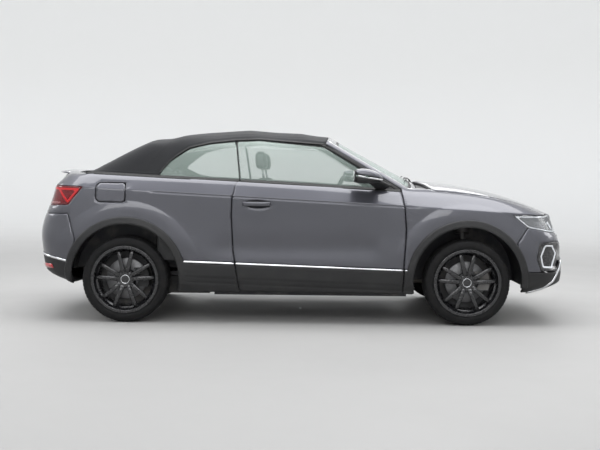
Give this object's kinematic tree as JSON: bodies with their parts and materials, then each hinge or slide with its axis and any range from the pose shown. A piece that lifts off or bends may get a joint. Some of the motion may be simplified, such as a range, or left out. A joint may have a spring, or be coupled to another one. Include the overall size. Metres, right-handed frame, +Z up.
{
  "type": "convertible car",
  "caption": "Compact convertible car with fabric top, hinged doors, bonnet, boot lid and fuel flap, steered front wheels and turning rear wheels.",
  "frame": {"origin": "middle of the overall box, on the ground under the wheels", "axes": "+X to the nose, +Y to the car's left, +Z up"},
  "size_m": [4.268, 1.992, 1.5217],
  "materials": {
    "paint": "metallic clear coat",
    "tub_paint": "satin underbody paint",
    "black_plastic": "grained",
    "lamp_clear": "clear",
    "lamp_red": "clear red",
    "screen_glass": "clear, faintly green",
    "side_glass": "clear, faintly green",
    "top_fabric": "woven",
    "seat_leather": "grained, stitched",
    "dash_plastic": "soft grained",
    "steering_leather": "smooth",
    "wheel_paint": "gloss black",
    "tyre": "matt",
    "cast_steel": "dull",
    "engine_alloy": "cast",
    "exhaust_steel": "dull",
    "tank_plastic": "moulded"
  },
  "bodies": {
    "body": {"body_tub": "tub_paint", "quarter_panel_left": "paint", "quarter_panel_right": "paint", "fender_left": "paint", "fender_right": "paint", "windscreen_frame": "paint", "windscreen": "screen_glass", "front_bumper": "paint", "rear_bumper": "paint", "grille": "black_plastic", "headlamps": "lamp_clear", "tail_lamps": "lamp_red", "arch_cladding": "black_plastic", "soft_top": "top_fabric", "rear_window": "side_glass", "quarter_glasses": "side_glass", "seat_left": "seat_leather", "seat_right": "seat_leather", "rear_bench": "seat_leather", "dashboard": "dash_plastic", "engine_block": "engine_alloy", "exhaust": "exhaust_steel", "fuel_tank": "tank_plastic", "front_subframe": "cast_steel", "rear_axle": "cast_steel"},
    "bonnet": {"bonnet": "paint"},
    "boot_lid": {"boot_lid": "paint"},
    "fuel_flap": {"fuel_flap": "paint"},
    "door_left": {"door_left": "paint", "door_glass_left": "side_glass", "mirror_left": "paint"},
    "door_right": {"door_right": "paint", "door_glass_right": "side_glass", "mirror_right": "paint"},
    "knuckle_left": {"knuckle_left": "cast_steel"},
    "knuckle_right": {"knuckle_right": "cast_steel"},
    "steering_wheel": {"steering_wheel": "steering_leather"},
    "wheel_front_left": {"wheel_front_left": "wheel_paint", "tyre_front_left": "tyre"},
    "wheel_front_right": {"wheel_front_right": "wheel_paint", "tyre_front_right": "tyre"},
    "wheel_rear_left": {"wheel_rear_left": "wheel_paint", "tyre_rear_left": "tyre"},
    "wheel_rear_right": {"wheel_rear_right": "wheel_paint", "tyre_rear_right": "tyre"}
  },
  "joints": [
    {"name": "steer_front_left", "type": "hinge", "parent": "body", "child": "knuckle_left", "pos_m": [1.281, 0.69, 0.24], "axis": [0, -0.2053, 0.9787], "range_deg": [-35, 35]},
    {"name": "steer_front_right", "type": "hinge", "parent": "body", "child": "knuckle_right", "pos_m": [1.281, -0.69, 0.24], "axis": [0, 0.2053, 0.9787], "range_deg": [-35, 35]},
    {"name": "steering_wheel_turn", "type": "hinge", "parent": "body", "child": "steering_wheel", "pos_m": [0.296, 0.37, 0.965], "axis": [-0.9135, 0, 0.4067], "range_deg": [-490, 490]},
    {"name": "door_left_hinge", "type": "hinge", "parent": "body", "child": "door_left", "pos_m": [0.808, 0.8895, 0.6], "axis": [0, 0, -1], "range_deg": [0, 65]},
    {"name": "door_right_hinge", "type": "hinge", "parent": "body", "child": "door_right", "pos_m": [0.808, -0.8895, 0.6], "axis": [0, 0, 1], "range_deg": [0, 65]},
    {"name": "bonnet_hinge", "type": "hinge", "parent": "body", "child": "bonnet", "pos_m": [0.945, 0, 1.102], "axis": [0, -1, 0], "range_deg": [0, 50]},
    {"name": "boot_lid_hinge", "type": "hinge", "parent": "body", "child": "boot_lid", "pos_m": [-1.77, 0, 1.156], "axis": [0, 1, 0], "range_deg": [0, 80]},
    {"name": "fuel_flap_hinge", "type": "hinge", "parent": "body", "child": "fuel_flap", "pos_m": [-1.362, -0.84809, 0.935], "axis": [0, 0.1185, 0.993], "range_deg": [0, 100]},
    {"name": "spin_front_left", "type": "hinge", "parent": "knuckle_left", "child": "wheel_front_left", "pos_m": [1.281, 0.769, 0.331], "axis": [0, 1, 0], "continuous": true},
    {"name": "spin_front_right", "type": "hinge", "parent": "knuckle_right", "child": "wheel_front_right", "pos_m": [1.281, -0.769, 0.331], "axis": [0, 1, 0], "continuous": true},
    {"name": "spin_rear_left", "type": "hinge", "parent": "body", "child": "wheel_rear_left", "pos_m": [-1.35, 0.769, 0.331], "axis": [0, 1, 0], "continuous": true},
    {"name": "spin_rear_right", "type": "hinge", "parent": "body", "child": "wheel_rear_right", "pos_m": [-1.35, -0.769, 0.331], "axis": [0, 1, 0], "continuous": true}
  ],
  "couplings": [
    {"joint": "steer_front_right", "follows": "steer_front_left", "ratio": 1},
    {"joint": "steering_wheel_turn", "follows": "steer_front_left", "ratio": 14}
  ]
}
